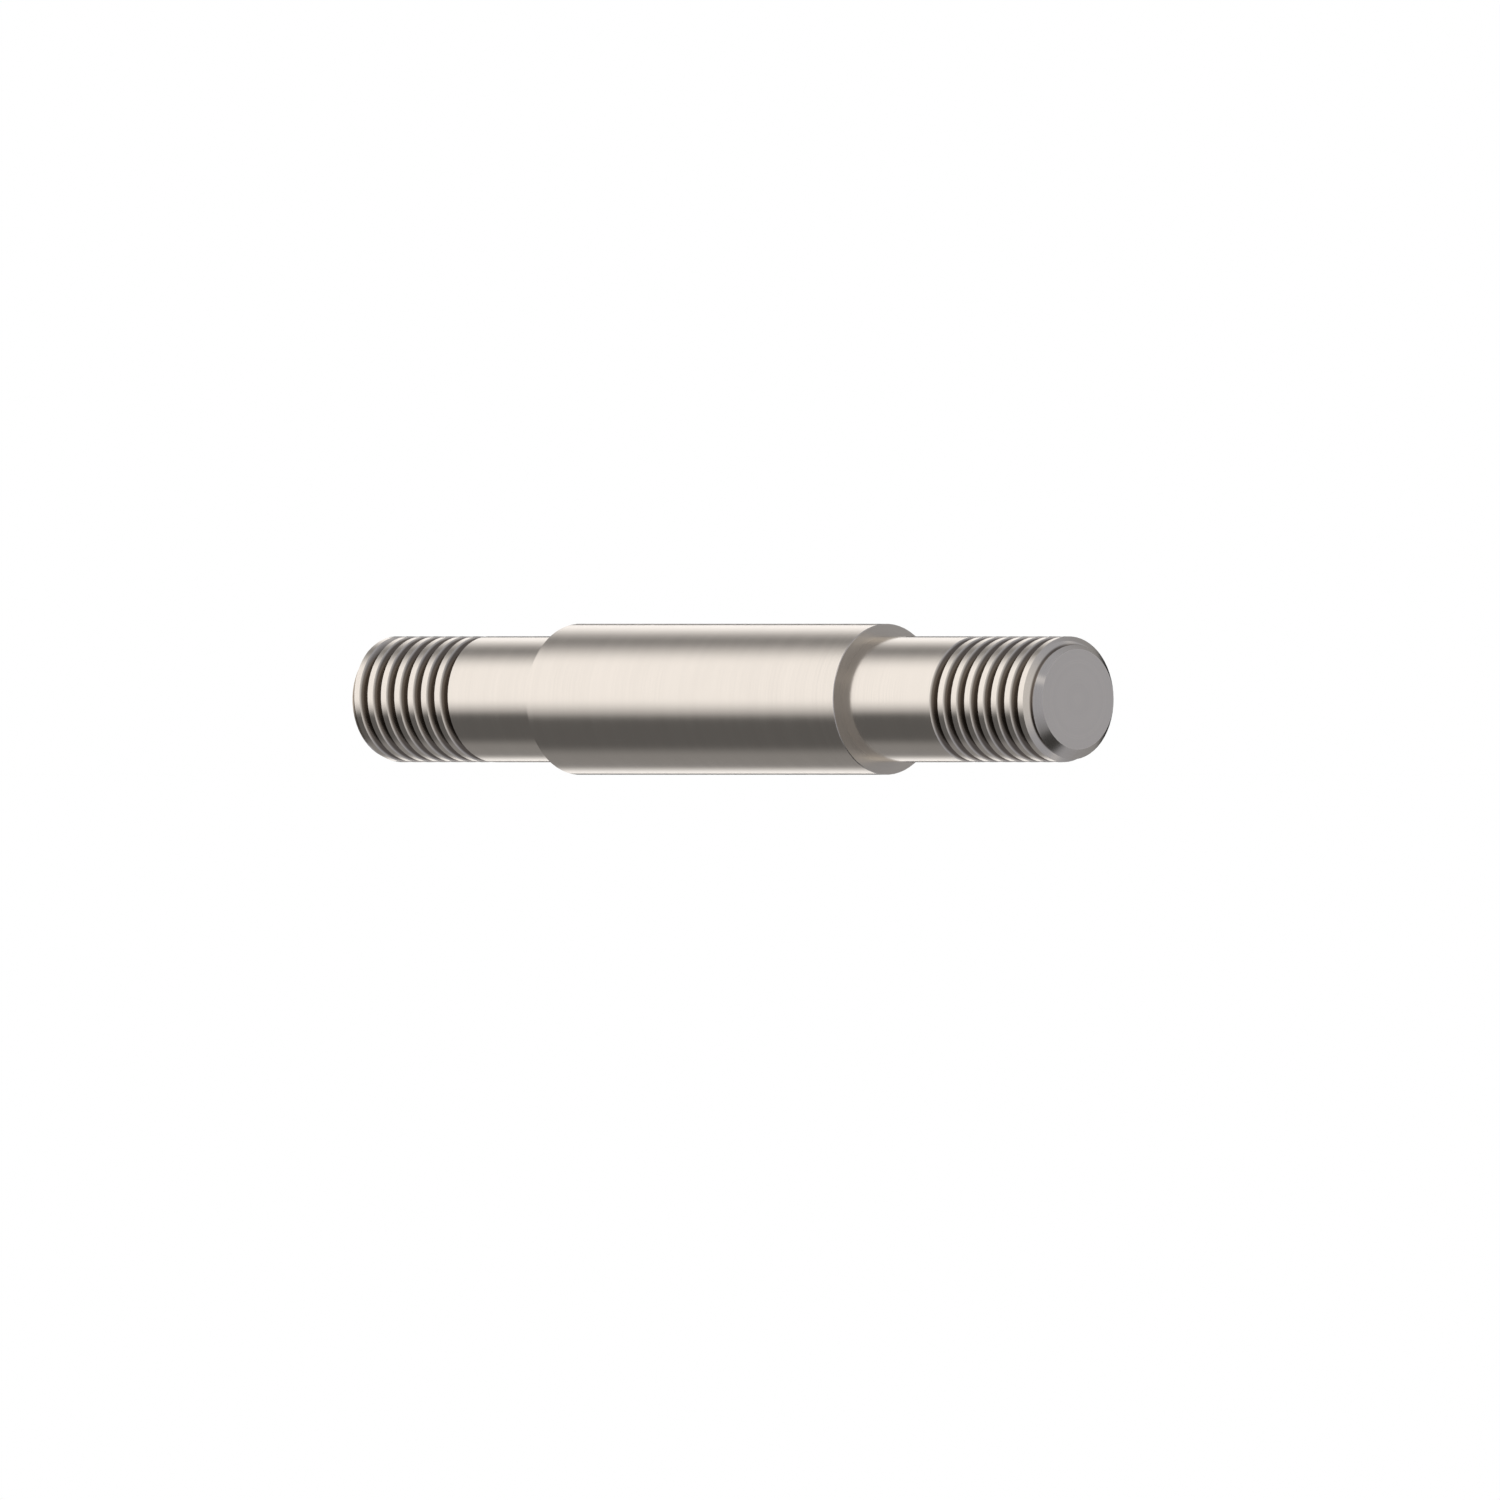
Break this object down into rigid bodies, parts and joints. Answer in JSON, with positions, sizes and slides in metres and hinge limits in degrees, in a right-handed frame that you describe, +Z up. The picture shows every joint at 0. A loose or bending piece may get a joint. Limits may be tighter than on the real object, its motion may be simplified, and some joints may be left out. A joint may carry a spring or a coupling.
{
  "type": "threaded shoulder stud",
  "caption": "Turned steel stud with a plain thicker body in the middle, a plain shank on each side and a chamfered screw thread on each end, one left-hand and one right-hand.",
  "frame": {"origin": "on the axis, in the middle of the body, half-way between the two tips", "axes": "+X along the axis towards the tip with the left-hand thread, +Z up"},
  "size_m": [0.0776, 0.012, 0.012],
  "materials": {
    "steel": "bright fine-turned steel, satin sheen"
  },
  "bodies": {
    "root": {"threaded_stud": "steel"}
  },
  "joints": []
}
